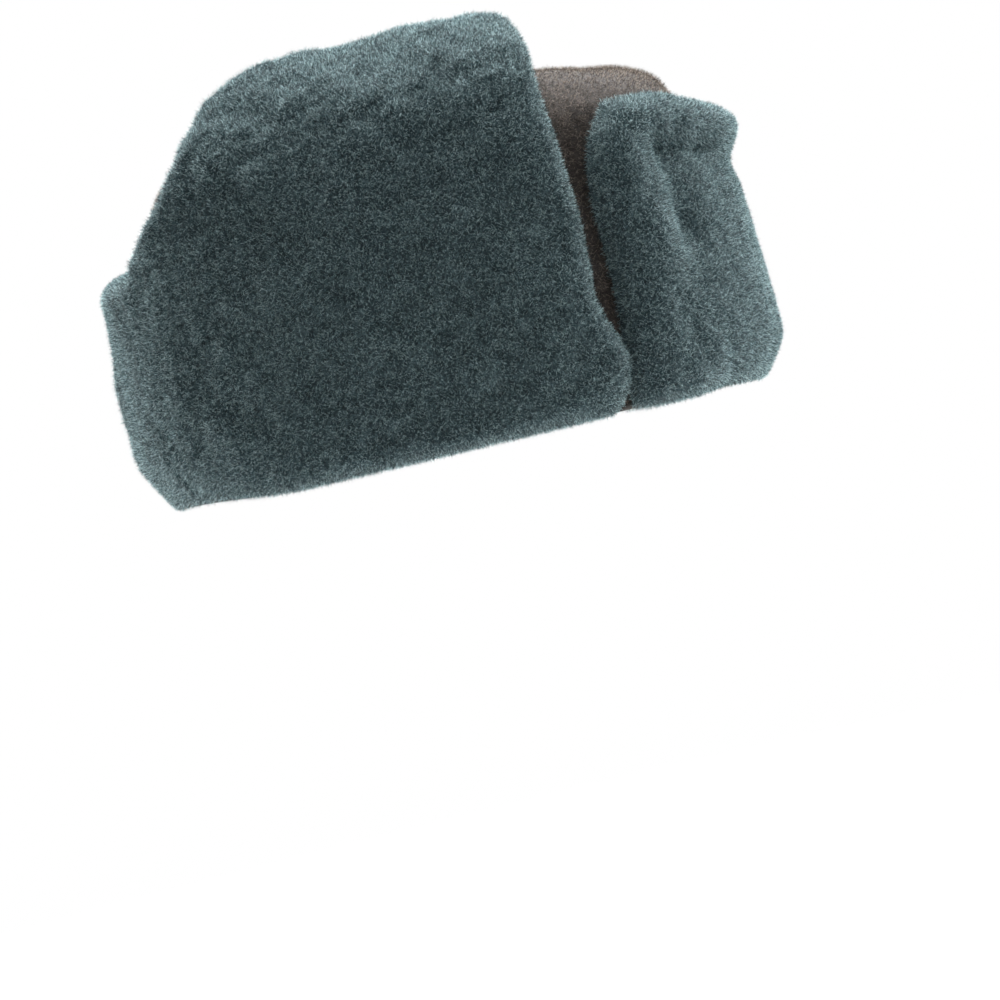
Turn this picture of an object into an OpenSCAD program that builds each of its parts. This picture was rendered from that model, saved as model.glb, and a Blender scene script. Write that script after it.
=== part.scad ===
// Winter hat with folded-up fur flaps: a felt crown, a front visor flap,
// two ear flaps that curl in over the crown, and a neck flap.
// Millimetres. +X is the front, +Y the wearer's left, +Z up.
// The origin is the centre of the head opening on the rim plane.

/* [Head] */
// Length of the head opening, front to back
head_len = 200; // [180:1:220]
// Width of the head opening
head_wid = 160; // [140:1:176]
// Squareness of the plan oval (2 is an ellipse)
plan_n = 2.4; // [2:0.1:3]
// Height of the felt crown above the rim plane
crown_h = 137.5; // [120:0.5:155]
// Radius of the crown's shoulder
shoulder_r = 27; // [24:1:36]
// Rise of the crown's top over its shoulder
top_rise = 3; // [1:0.5:8]
// How far the wall draws in at the shoulder, as a share of the plan
wall_draw = 0.05; // [0:0.005:0.06]
// How far the upper rear of the crown leans in, as a share of the plan
rear_ease = 0.06; // [0:0.01:0.07]

/* [Crown layers] */
// Sweatband thickness
sweat_t = 1.6; // [1:0.1:2.5]
// Sweatband height
sweat_h = 38; // [25:1:50]
// Lining thickness
lining_t = 1.5; // [1:0.1:3]
// Wadding thickness
wadding_t = 5.5; // [3:0.5:7]
// Interlining thickness
canvas_t = 1; // [0.6:0.1:1.5]
// Felt thickness
felt_t = 2.6; // [1.5:0.1:4]
// Gap between neighbouring layers
layer_gap = 0.1; // [0.05:0.05:0.3]
// Rim binding height
rim_h = 3; // [2:0.5:5]

/* [Flaps] */
// Gap between the crown and the folded-up flaps
flap_gap = 0.9; // [0.5:0.1:2]
// Felt backing thickness
back_t = 1.8; // [1:0.1:3]
// Flap interlining thickness
stiff_t = 0.8; // [0.5:0.1:1.5]
// Fur thickness, hide and pile
fur_t = 11.7; // [8:0.1:14]
// Height of the flaps' lower edge over the rim plane
flap_z0 = 0.6; // [0.5:0.1:2]
// Height where the ear flap starts to curl inward
curl_z = 100; // [85:1:105]
// Middle radius of the ear flap's curl
curl_r = 51; // [48:1:66]
// Angle of the curl where the ear flap's tip bends
curl_a0 = 15; // [10:1:25]
// Angle of the curl where the ear flap's tip ends
curl_a1 = 105; // [95:1:110]
// Front edge of the ear flap
ear_front = 62.5; // [55:0.5:63]
// Height of the neck flap
neck_h = 94; // [80:1:98]
// Rear edge of the visor's sides
visor_rear = 66; // [65.5:0.5:80]
// Height of the visor's sides
visor_side_h = 112; // [100:1:120]
// Height of the visor's front
visor_front_h = 105; // [95:1:115]

/* [Tie loops] */
// Inner radius of a tie loop
loop_r = 3.4; // [2:0.1:4]
// Tape thickness of a tie loop
loop_t = 1.2; // [0.8:0.1:1.6]
// Tape width of a tie loop
loop_w = 6; // [4:0.5:10]

/* [Hidden] */

A = head_len / 2;
B = head_wid / 2;
E = 2 / plan_n;
// layer offsets outward from the head opening
lin0 = sweat_t + layer_gap;
lin1 = lin0 + lining_t;
wad0 = lin1 + layer_gap;
wad1 = wad0 + wadding_t;
can0 = wad1 + layer_gap;
can1 = can0 + canvas_t;
fel0 = can1 + layer_gap;
fel1 = fel0 + felt_t;
flap0 = fel1 + flap_gap;
// depths inside a flap, from its crown side
stf0 = back_t + layer_gap;
stf1 = stf0 + stiff_t;
fur0 = stf1 + layer_gap;
fur1 = fur0 + fur_t;
wall_z0 = rim_h + 0.2;
// plan share where the neck flap meets the ear flaps
seam_s = 0.5556;
seam_t = asin(pow(seam_s, plan_n / 2));
FELT = [0.36, 0.33, 0.31];
FUR = [0.3, 0.37, 0.38];
CANVAS = [0.62, 0.58, 0.5];
LINING = [0.2, 0.22, 0.24];
LEATHER = [0.25, 0.18, 0.13];

function sgn_pow(v, p) = sign(v) * pow(abs(v), p);
function cx(t) = sgn_pow(cos(t), E);
function sy(t) = sgn_pow(sin(t), E);
function mix(p, q, k) = p + (q - p) * k;

// crown profile: 0..0.5 wall, 0.5..0.75 shoulder, 0.75..1 top
function sh_r(o) = shoulder_r - (fel1 - o);
function top_z(o) = crown_h - fel1 + o;
function rho(s, o) =
  s <= 0.5 ? 1 - wall_draw * pow(s / 0.5, 2)
  : s <= 0.75 ? 1 - wall_draw - sh_r(o) / (A + o) * (1 - cos((s - 0.5) / 0.25 * 85))
  : (1 - wall_draw - sh_r(o) / (A + o) * (1 - cos(85))) * (1 - (s - 0.75) / 0.25);
function pz(s, o) =
  s <= 0.5 ? mix(wall_z0, top_z(o) - sh_r(o), s / 0.5)
  : s <= 0.75 ? top_z(o) - sh_r(o) + (sh_r(o) - top_rise) * sin((s - 0.5) / 0.25 * 85)
  : mix(top_z(o) - sh_r(o) + (sh_r(o) - top_rise) * sin(85), top_z(o), 1 - pow(1 - (s - 0.75) / 0.25, 2));
function ramp(a, b, v) = let (k = min(max((v - a) / (b - a), 0), 1)) k * k * (3 - 2 * k);
function crown_pt(t, s, o) = let (x = (A + o) * rho(s, o) * cx(t), z = pz(s, o))
  [x * (1 - rear_ease * ramp(crown_h - 47, crown_h - 9, z) * ramp(-15, -85, x)), (B + o) * rho(s, o) * sy(t), z];

// a flap standing against the crown: plan angle t, height z, depth d
function draw_k(z) = 1 - 0.012 * pow(min(max(z, 0), 100) / 100, 2);
function flap_pt(t, z, d) = [
  (A + flap0 + d) * cx(t) * draw_k(z),
  (B + flap0 + d) * sy(t) * draw_k(z), z];

// the ear flap: w 0..1 is the upright part, above it the curl, 90 degrees for each unit
function ear_c_front(w) = lookup(w, [[0, ear_front - 6.5], [0.05, ear_front - 2], [0.13, ear_front], [0.3, ear_front - 1],
  [0.5, ear_front - 4], [0.7, ear_front - 4], [1, ear_front - 6.5], [1.3, ear_front - 9.5], [1.56, ear_front - 9.5],
  [1.68, ear_front - 10.5], [1.78, ear_front - 12], [1.88, ear_front - 14], [2, ear_front - 19], [2.08, ear_front - 24.5],
  [2.17, ear_front - 32.5], [2.3, ear_front - 44]]) / (A + flap0 + fur1 / 2);
function ear_c_rear(w) = lookup(w, [[1, 112], [1.03, 105], [1.12, 97], [1.21, 90], [1.33, 83], [1.47, 77.5], [1.67, 69],
  [1.77, 57.5], [1.88, 44.5], [2, 35], [2.08, 29.5], [2.17, 24], [2.3, 18]]) / (A + flap0 + fur1);
function ear_t_front(w) = acos(pow(ear_c_front(w), 1 / E));
function ear_t_rear(w) = w <= 1 ? 180 - seam_t - 0.25
  : min(180 - seam_t - 0.25, 180 - acos(pow(ear_c_rear(w), 1 / E)));
function ear_pt(t, w, d) =
  let (k = draw_k(min(w, 1) * curl_z), h = fur1 / 2, bm = (B + flap0 + h) * sy(t) * k,
       b = max(w - 1, 0) * 90, x = (A + flap0 + d) * cx(t) * k)
  w <= 1 ? [x, (B + flap0 + d) * sy(t) * k, mix(flap_z0, curl_z, w)]
  : [x, bm - curl_r + (curl_r + (d - h) * sy(t) * k) * cos(b), curl_z + (curl_r + d - h) * sin(b)];
function ear_rows(w0, w1, nu, nv, d) = [for (i = [0:nv]) for (j = [0:nu])
  let (w = mix(w0, w1, i / nv)) ear_pt(mix(ear_t_front(w), ear_t_rear(w), j / nu), w, d)];

// a closed slab between two grids of points
module slab(P, Q, nu, nv) {
  m = nu + 1;
  n = len(P);
  up = cross(P[1] - P[0], P[m] - P[0]) * (P[0] - Q[0]) > 0;
  quads = concat(
    [for (i = [0:nv - 1]) for (j = [0:nu - 1]) let (k = i * m + j) [k, k + m, k + m + 1, k + 1]],
    [for (i = [0:nv - 1]) for (j = [0:nu - 1]) let (k = n + i * m + j) [k, k + 1, k + m + 1, k + m]],
    [for (j = [0:nu - 1]) [j, j + 1, n + j + 1, n + j]],
    [for (j = [0:nu - 1]) let (k = nv * m + j) [k, n + k, n + k + 1, k + 1]],
    [for (i = [0:nv - 1]) let (k = i * m) [k, n + k, n + k + m, k + m]],
    [for (i = [0:nv - 1]) let (k = i * m + nu) [k, k + m, n + k + m, n + k]]);
  tris = [for (q = quads) each [[q[0], q[1], q[2]], [q[0], q[2], q[3]]]];
  polyhedron(concat(P, Q), up ? tris : [for (f = tris) [f[2], f[1], f[0]]]);
}

// a closed cap of the crown profile, from s0 to the middle of the top
module cap(s0, o0, o1, nt, ns) {
  P = [for (i = [0:ns - 1]) for (j = [0:nt - 1]) crown_pt(360 * j / nt, mix(s0, 1, i / ns), o1)];
  Q = [for (i = [0:ns - 1]) for (j = [0:nt - 1]) crown_pt(360 * j / nt, mix(s0, 1, i / ns), o0)];
  n = len(P);
  quads = concat(
    [for (i = [0:ns - 2]) for (j = [0:nt - 1]) let (a = i * nt + j, b = i * nt + (j + 1) % nt) [a, a + nt, b + nt, b]],
    [for (i = [0:ns - 2]) for (j = [0:nt - 1]) let (a = n + i * nt + j, b = n + i * nt + (j + 1) % nt) [a, b, b + nt, a + nt]],
    [for (j = [0:nt - 1]) let (b = (j + 1) % nt) [j, b, n + b, n + j]]);
  fans = concat(
    [for (j = [0:nt - 1]) [(ns - 1) * nt + j, 2 * n, (ns - 1) * nt + (j + 1) % nt]],
    [for (j = [0:nt - 1]) [n + (ns - 1) * nt + j, n + (ns - 1) * nt + (j + 1) % nt, 2 * n + 1]]);
  tris = concat([for (q = quads) each [[q[0], q[1], q[2]], [q[0], q[2], q[3]]]], fans);
  polyhedron(concat(P, Q, [[0, 0, top_z(o1)], [0, 0, top_z(o0)]]), tris);
}

module wall_panel(t0, t1, o0, o1, nu) {
  nv = 12;
  g = 0.15;
  slab([for (i = [0:nv]) for (j = [0:nu]) crown_pt(mix(t0 + g, t1 - g, j / nu), 0.75 * i / nv, o1)],
       [for (i = [0:nv]) for (j = [0:nu]) crown_pt(mix(t0 + g, t1 - g, j / nu), 0.75 * i / nv, o0)], nu, nv);
}

module oval(o) polygon([for (j = [0:71]) [(A + o) * cx(j * 5), (B + o) * sy(j * 5)]]);
module oval_band(o0, o1, z0, z1) translate([0, 0, z0]) linear_extrude(z1 - z0) difference() { oval(o1); oval(o0); }

module crown_top_panel() color(FELT) cap(0.757, fel0, fel1, 48, 4);
module crown_front_panel() color(FELT) wall_panel(-45, 45, fel0, fel1, 12);
module crown_back_panel() color(FELT) wall_panel(135, 225, fel0, fel1, 12);
module crown_left_panel() color(FELT) wall_panel(45, 135, fel0, fel1, 12);
module crown_right_panel() color(FELT) wall_panel(225, 315, fel0, fel1, 12);
module crown_interlining() color(CANVAS) cap(0, can0, can1, 48, 16);
module crown_wadding() color(CANVAS) cap(0, wad0, wad1, 48, 16);
module lining_front_panel() color(LINING) wall_panel(-45, 45, lin0, lin1, 12);
module lining_back_panel() color(LINING) wall_panel(135, 225, lin0, lin1, 12);
module lining_left_panel() color(LINING) wall_panel(45, 135, lin0, lin1, 12);
module lining_right_panel() color(LINING) wall_panel(225, 315, lin0, lin1, 12);
module lining_top() color(LINING) cap(0.757, lin0, lin1, 48, 4);
module sweatband() color(LEATHER) oval_band(-sweat_t, 0, 0.6, sweat_h);
module rim_binding() color(LEATHER) oval_band(0.1, fel1, 0, rim_h);

// visor, symmetric about the front
function visor_t(w) = let (x = lookup(w, [[0, visor_rear + 4], [0.08, visor_rear], [0.72, visor_rear], [1, visor_rear + 17]]))
  acos(pow(x / (A + flap0 + fur1 / 2), 1 / E));
function visor_z(t, w) = mix(flap_z0, mix(visor_front_h, visor_side_h, pow(min(abs(sy(t)) / 0.62, 1), 2)), w);
function visor_rows(d, nu, nv) = [for (i = [0:nv]) for (j = [0:nu])
  let (w = i / nv, t = mix(-visor_t(w), visor_t(w), j / nu)) flap_pt(t, visor_z(t, w), d)];
module visor_layer(d0, d1, nv) slab(visor_rows(d1, 24, nv), visor_rows(d0, 24, nv), 24, nv);
module visor_fur() color(FUR) visor_layer(fur0, fur1, 8);
module visor_backing() color(FELT) visor_layer(0, back_t, 8);
module visor_interlining() color(CANVAS) visor_layer(stf0, stf1, 8);

// neck flap, symmetric about the back
function neck_rows(d, nu, nv) = [for (i = [0:nv]) for (j = [0:nu])
  let (w = i / nv) flap_pt(mix(180 - seam_t + 0.25, 180 + seam_t - 0.25, j / nu), mix(flap_z0, neck_h, w), d)];
module neck_layer(d0, d1) slab(neck_rows(d1, 14, 6), neck_rows(d0, 14, 6), 14, 6);
module neck_flap_fur() color(FUR) neck_layer(fur0, fur1);
module neck_flap_backing() color(FELT) neck_layer(0, back_t);
module neck_flap_interlining() color(CANVAS) neck_layer(stf0, stf1);

// ear flaps are built on the left and mirrored to the right
tip_w = 1 + curl_a0 / 90;
end_w = 1 + curl_a1 / 90;
tip_cut = 0.006;
module ear_base(d0, d1, nv) slab(ear_rows(0, tip_w - tip_cut, 20, nv, d1), ear_rows(0, tip_w - tip_cut, 20, nv, d0), 20, nv);
module ear_tip(d0, d1) slab(ear_rows(tip_w + tip_cut, end_w, 16, 10, d1), ear_rows(tip_w + tip_cut, end_w, 16, 10, d0), 16, 10);
module tie_loop() {
  b = curl_a1;
  rr = curl_r - fur1 / 2 + 1.2;
  yc = B + flap0 + fur1 / 2 - curl_r - 2.2;
  translate([-9, yc + rr * cos(b) - 0.4, curl_z + rr * sin(b)])
    rotate([b - 90, 0, 0]) rotate([0, 0, 180])
      rotate_extrude(angle = 180, $fn = 32) translate([loop_r, -loop_w / 2]) square([loop_t, loop_w]);
}

module left_ear_flap_fur() color(FUR) ear_base(fur0, fur1, 9);
module left_ear_flap_backing() color(FELT) ear_base(0, back_t, 9);
module left_ear_flap_interlining() color(CANVAS) ear_base(stf0, stf1, 9);
module left_ear_tip_fur() color(FUR) ear_tip(fur0, fur1);
module left_ear_tip_backing() color(FELT) ear_tip(0, back_t);
module left_tie_loop() color(LEATHER) tie_loop();
module right_ear_flap_fur() color(FUR) mirror([0, 1, 0]) ear_base(fur0, fur1, 9);
module right_ear_flap_backing() color(FELT) mirror([0, 1, 0]) ear_base(0, back_t, 9);
module right_ear_flap_interlining() color(CANVAS) mirror([0, 1, 0]) ear_base(stf0, stf1, 9);
module right_ear_tip_fur() color(FUR) mirror([0, 1, 0]) ear_tip(fur0, fur1);
module right_ear_tip_backing() color(FELT) mirror([0, 1, 0]) ear_tip(0, back_t);
module right_tie_loop() color(LEATHER) mirror([0, 1, 0]) tie_loop();

crown_top_panel();
crown_front_panel();
crown_back_panel();
crown_left_panel();
crown_right_panel();
crown_interlining();
crown_wadding();
lining_front_panel();
lining_back_panel();
lining_left_panel();
lining_right_panel();
lining_top();
sweatband();
rim_binding();
visor_fur();
visor_backing();
visor_interlining();
neck_flap_fur();
neck_flap_backing();
neck_flap_interlining();
right_ear_flap_fur();
right_ear_flap_backing();
right_ear_flap_interlining();
right_ear_tip_fur();
right_ear_tip_backing();
right_tie_loop();
left_ear_flap_fur();
left_ear_flap_backing();
left_ear_flap_interlining();
left_ear_tip_fur();
left_ear_tip_backing();
left_tie_loop();
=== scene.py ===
import math

import bpy
import numpy as np
from mathutils import Matrix, Vector


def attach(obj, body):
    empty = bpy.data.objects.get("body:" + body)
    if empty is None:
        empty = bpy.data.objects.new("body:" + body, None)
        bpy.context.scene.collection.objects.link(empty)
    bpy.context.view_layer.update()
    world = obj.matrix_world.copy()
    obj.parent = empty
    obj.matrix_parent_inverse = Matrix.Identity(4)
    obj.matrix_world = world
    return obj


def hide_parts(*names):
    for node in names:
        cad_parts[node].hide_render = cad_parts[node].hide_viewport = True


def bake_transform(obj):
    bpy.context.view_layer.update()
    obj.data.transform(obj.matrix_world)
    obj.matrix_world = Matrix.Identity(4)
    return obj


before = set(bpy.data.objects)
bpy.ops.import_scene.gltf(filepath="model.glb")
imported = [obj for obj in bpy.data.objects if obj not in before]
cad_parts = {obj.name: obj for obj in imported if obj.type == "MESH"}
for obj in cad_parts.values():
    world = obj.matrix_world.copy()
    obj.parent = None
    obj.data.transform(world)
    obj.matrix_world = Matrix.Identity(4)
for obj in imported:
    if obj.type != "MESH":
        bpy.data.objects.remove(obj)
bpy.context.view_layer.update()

scene = bpy.context.scene
MM = 0.001

# ------------------------------------------------------------------ the hat's own measures, as in part.scad (mm)
A, B, N = 100.0, 80.0, 2.4
E = 2.0 / N
LIN0, LIN1, WAD0, WAD1, CAN0, CAN1, FEL0, FEL1 = 1.7, 3.2, 3.3, 8.8, 8.9, 9.9, 10.0, 12.6
FLAP0 = 13.5
BACK_T, STF0, STF1, FUR0, FUR1 = 1.8, 1.9, 2.7, 2.8, 14.5
CROWN_H, SHOULDER_R, TOP_RISE, DRAW = 135.0, 27.0, 3.0, 0.05
CURL_Z, CURL_R, FLAP_Z0, NECK_H = 100.0, 51.0, 0.6, 94.0
SEAM_T = math.asin(0.5556 ** (N / 2))


def spow(v, p):
    return np.sign(v) * np.abs(v) ** p


def cx(t):
    return spow(np.cos(t), E)


def sy(t):
    return spow(np.sin(t), E)


def smooth(a, b, v):
    t = np.clip((v - a) / (b - a), 0.0, 1.0)
    return t * t * (3 - 2 * t)


def crown_pt(t, s, o):
    """Point of the crown profile: s 0..0.5 wall, 0.5..0.75 shoulder, 0.75..1 top; o outward from the head opening."""
    r = SHOULDER_R - (FEL1 - o) - 4.5 * smooth(0.3, 1.0, np.cos(t))
    top = CROWN_H - FEL1 + o
    k = r / (A + o)
    a85 = math.radians(85)
    al = np.clip((s - 0.5) / 0.25, 0, 1) * a85
    rim = 1 - DRAW - k * (1 - math.cos(a85))
    q = np.clip((s - 0.75) / 0.25, 0, 1)
    rho = np.where(s <= 0.5, 1 - DRAW * (s / 0.5) ** 2, np.where(s <= 0.75, 1 - DRAW - k * (1 - np.cos(al)), rim * (1 - q)))
    zs = top - r + (r - TOP_RISE) * math.sin(a85)
    z = np.where(s <= 0.5, 3.2 + (top - r - 3.2) * np.clip(s / 0.5, 0, 1),
                 np.where(s <= 0.75, top - r + (r - TOP_RISE) * np.sin(al), zs + (top - zs) * (1 - (1 - q) ** 2)))
    x = (A + o) * rho * cx(t)
    # the inner layers give way less, so the head opening keeps its room
    inward = np.clip((FEL1 - o) / 10.9, 0, 1.1)
    x = x * (1 - 0.086 * (1 - 0.5 * inward) * smooth(80, 126, z) * smooth(-15, -85, x))
    x = x * (1 - 0.025 * smooth(98, 126, z) * smooth(45, 95, x))
    z = z - 3.4 * (1 - 0.4 * inward) * smooth(50, 82, x) * (1 - 0.6 * smooth(92, 103, x)) * smooth(96, 128, z) + 1.2 * inward * smooth(96, 118, z)
    return np.stack([x, (B + o) * rho * sy(t), z + rise(x, z)], -1)


def draw_k(z):
    return 1 - 0.012 * (np.clip(z, 0, 100) / 100) ** 2


def rise(x, z):
    """How far the bottom edge rises at the back of the head."""
    return 2.8 * smooth(-66, -112, x) * (1 - smooth(0, 34, z))


def flap_pt(t, z, d):
    k = draw_k(z)
    x = (A + FLAP0 + d) * cx(t) * k
    return np.stack([x, (B + FLAP0 + d) * sy(t) * k, z + 0 * t + rise(x, z)], -1)


def ear_pt(t, w, d):
    """Left ear flap: w 0..1 upright, then the curl at 90 degrees for each unit."""
    k = draw_k(np.minimum(w, 1) * CURL_Z)
    h = FUR1 / 2
    b = np.maximum(w - 1, 0) * math.pi / 2
    mid = (B + FLAP0 + h) * sy(t) * k
    x = (A + FLAP0 + d) * cx(t) * k
    y = np.where(w <= 1, (B + FLAP0 + d) * sy(t) * k, mid - CURL_R + (CURL_R + (d - h) * sy(t) * k) * np.cos(b))
    z = np.where(w <= 1, FLAP_Z0 + (CURL_Z - FLAP_Z0) * w, CURL_Z + (CURL_R + d - h) * np.sin(b))
    return np.stack([x, y, z + rise(x, z)], -1)


# ------------------------------------------------------------------ soft noise made of seeded waves
class Waves:
    def __init__(self, seed, wavelength, spread=0.35, count=24):
        g = np.random.default_rng(seed)
        k = g.normal(size=(count, 3))
        k /= np.linalg.norm(k, axis=1, keepdims=True)
        self.k = k * (2 * math.pi / (wavelength * np.exp(g.normal(0, spread, (count, 1)))))
        self.p = g.uniform(0, 2 * math.pi, count)
        self.n = math.sqrt(2.0 / count)

    def __call__(self, p):
        out = np.zeros(p.shape[:-1])
        for k, ph in zip(self.k, self.p):
            out += np.sin(p @ k + ph)
        return out * self.n


def spread(n, lead, size, step_end):
    """n+1 shares of a length, closer together near both ends over lead mm."""
    x = np.linspace(0, 1, n + 1)
    c = min(0.92, 3.2 * lead / size)
    return x - c * np.sin(2 * math.pi * x) / (2 * math.pi)


# ------------------------------------------------------------------ meshes
def make(name, verts, faces, mats, face_mat=None):
    me = bpy.data.meshes.new(name)
    me.from_pydata([tuple(v) for v in np.asarray(verts, float) * MM], [], [tuple(int(i) for i in f) for f in faces])
    me.validate()
    me.update()
    for p in me.polygons:
        p.use_smooth = True
    ob = bpy.data.objects.new(name, me)
    scene.collection.objects.link(ob)
    me.set_sharp_from_angle(angle=math.radians(55))
    for m in mats if isinstance(mats, (list, tuple)) else [mats]:
        me.materials.append(m)
    return ob


def orient(outer, inner, quads):
    """True if the quads already wind outward."""
    nv, nu = outer.shape[:2]
    k = (nv // 2) * nu + nu // 2
    q = [r for r in quads if r[0] == k][0]
    p = [outer.reshape(-1, 3)[k] for k in q]
    n = np.cross(p[1] - p[0], p[3] - p[0])
    return np.dot(n, p[0] - inner.reshape(-1, 3)[q[0]]) > 0


def grid_quads(nv, nu):
    i, j = np.meshgrid(np.arange(nv - 1), np.arange(nu - 1), indexing="ij")
    k = (i * nu + j).ravel()
    return np.stack([k, k + 1, k + nu + 1, k + nu], 1)


def lip_slab(name, outer, inner, mats):
    """A closed soft slab: the two grids share their boundary, so its edge is one smooth lip. Returns the object and the outer side's vertex indices."""
    nv, nu = outer.shape[:2]
    edge = np.zeros((nv, nu), bool)
    edge[0], edge[-1], edge[:, 0], edge[:, -1] = True, True, True, True
    idx_out = np.arange(nv * nu).reshape(nv, nu)
    idx_in = np.full((nv, nu), -1)
    free = ~edge
    idx_in[free] = nv * nu + np.arange(free.sum())
    idx_in[edge] = idx_out[edge]
    verts = np.concatenate([outer.reshape(-1, 3), inner[free]])
    q = grid_quads(nv, nu)
    flip = not orient(outer, inner, q)
    qo = q if not flip else q[:, ::-1]
    qi = idx_in.ravel()[q if flip else q[:, ::-1]]
    ob = make(name, verts, np.concatenate([qo, qi]), mats)
    return ob, nv * nu


def wall_slab(name, outer, inner, mats, closed=False):
    """A closed slab with side walls between two grids; closed joins the last column to the first."""
    nv, nu = outer.shape[:2]
    n = nv * nu
    if closed:
        i, j = np.meshgrid(np.arange(nv - 1), np.arange(nu), indexing="ij")
        a = (i * nu + j).ravel()
        b = (i * nu + (j + 1) % nu).ravel()
        q = np.stack([a, b, b + nu, a + nu], 1)
    else:
        q = grid_quads(nv, nu)
    flip = not orient(outer, inner, q)
    qo = q if not flip else q[:, ::-1]
    qi = (q if flip else q[:, ::-1]) + n
    rim = []
    cols = range(nu if closed else nu - 1)
    for j in cols:
        k = (j + 1) % nu
        rim.append([k, j, j + n, k + n])
        rim.append([(nv - 1) * nu + j, (nv - 1) * nu + k, (nv - 1) * nu + k + n, (nv - 1) * nu + j + n])
    if not closed:
        for i in range(nv - 1):
            rim.append([i * nu, (i + 1) * nu, (i + 1) * nu + n, i * nu + n])
            rim.append([(i + 1) * nu + nu - 1, i * nu + nu - 1, i * nu + nu - 1 + n, (i + 1) * nu + nu - 1 + n])
    rim = np.array(rim)
    if flip:
        rim = rim[:, ::-1]
    return make(name, np.concatenate([outer.reshape(-1, 3), inner.reshape(-1, 3)]), np.concatenate([qo, qi, rim]), mats)


def row_len(p):
    """Running length along axis 1 and axis 0 of a grid of points."""
    u = np.concatenate([np.zeros((p.shape[0], 1)), np.cumsum(np.linalg.norm(np.diff(p, axis=1), axis=2), 1)], 1)
    v = np.concatenate([np.zeros((1, p.shape[1])), np.cumsum(np.linalg.norm(np.diff(p, axis=0), axis=2), 0)], 0)
    return u, v


def lip(e, r):
    """Rounded edge: 0 at the edge, 1 at r and beyond."""
    x = np.clip(e / r, 0, 1)
    return np.sqrt(np.clip(1 - (1 - x) ** 2, 0, 1))


# ------------------------------------------------------------------ materials
def material(name):
    m = bpy.data.materials.new(name)
    m.use_nodes = True
    nt = m.node_tree
    for n in list(nt.nodes):
        nt.nodes.remove(n)
    out = nt.nodes.new("ShaderNodeOutputMaterial")
    bs = nt.nodes.new("ShaderNodeBsdfPrincipled")
    nt.links.new(bs.outputs[0], out.inputs[0])
    return m, nt, bs


def srgb(r, g, b):
    f = lambda c: c / 12.92 if c <= 0.04045 else ((c + 0.055) / 1.055) ** 2.4
    return (f(r / 255), f(g / 255), f(b / 255), 1.0)


def ramp(nt, fac, stops):
    n = nt.nodes.new("ShaderNodeValToRGB")
    el = n.color_ramp.elements
    while len(el) < len(stops):
        el.new(0.5)
    for e, (p, c) in zip(el, stops):
        e.position, e.color = p, c
    nt.links.new(fac, n.inputs[0])
    return n.outputs[0]


def noise_tex(nt, vec, scale, detail=3.0, rough=0.6, distort=0.0):
    n = nt.nodes.new("ShaderNodeTexNoise")
    n.inputs["Scale"].default_value = scale
    n.inputs["Detail"].default_value = detail
    n.inputs["Roughness"].default_value = rough
    n.inputs["Distortion"].default_value = distort
    nt.links.new(vec, n.inputs["Vector"])
    return n.outputs[0]


def coords(nt, scale=(1, 1, 1)):
    tc = nt.nodes.new("ShaderNodeTexCoord")
    mp = nt.nodes.new("ShaderNodeMapping")
    mp.inputs["Scale"].default_value = scale
    nt.links.new(tc.outputs["Object"], mp.inputs[0])
    return mp.outputs[0]


def math_node(nt, op, a, b, c=None):
    n = nt.nodes.new("ShaderNodeMath")
    n.operation = op
    if c is not None:
        n.inputs[2].default_value = c
    for i, v in enumerate((a, b)):
        if isinstance(v, (int, float)):
            n.inputs[i].default_value = v
        else:
            nt.links.new(v, n.inputs[i])
    return n.outputs[0]


def mix_col(nt, fac, a, b, mode="MIX"):
    n = nt.nodes.new("ShaderNodeMix")
    n.data_type, n.blend_type = "RGBA", mode
    for i, v in ((0, fac), (6, a), (7, b)):
        if isinstance(v, (int, float, tuple)):
            n.inputs[i].default_value = v
        else:
            nt.links.new(v, n.inputs[i])
    return n.outputs[2]


def bump(nt, bs, height, strength, dist):
    n = nt.nodes.new("ShaderNodeBump")
    n.inputs["Strength"].default_value = strength
    n.inputs["Distance"].default_value = dist
    nt.links.new(height, n.inputs["Height"])
    nt.links.new(n.outputs[0], bs.inputs["Normal"])


def fur_material():
    """The pile's body: blue-grey with fine light and dark fibre ends."""
    m, nt, bs = material("sheared_fur")
    v = coords(nt)
    fine = noise_tex(nt, v, 900.0, 3.0, 0.65, 0.6)
    clump = noise_tex(nt, v, 190.0, 2.0, 0.55, 0.4)
    patch = noise_tex(nt, v, 22.0, 2.0, 0.5)
    mixed = math_node(nt, "ADD", math_node(nt, "MULTIPLY", fine, 0.7), math_node(nt, "MULTIPLY", clump, 0.3))
    col = ramp(nt, mixed, [(0.32, srgb(20, 29, 32)), (0.5, srgb(46, 60, 64)), (0.68, srgb(92, 109, 111))])
    tone = ramp(nt, patch, [(0.3, (0.82, 0.84, 0.86, 1)), (0.7, (1.0, 1.0, 1.0, 1))])
    nt.links.new(mix_col(nt, 1.0, col, tone, "MULTIPLY"), bs.inputs["Base Color"])
    bs.inputs["Roughness"].default_value = 0.9
    bs.inputs["Specular IOR Level"].default_value = 0.15
    bs.inputs["Sheen Weight"].default_value = 0.35
    bs.inputs["Sheen Roughness"].default_value = 0.5
    bs.inputs["Sheen Tint"].default_value = srgb(190, 205, 206)
    bump(nt, bs, mixed, 0.9, 0.0012)
    return m


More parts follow.
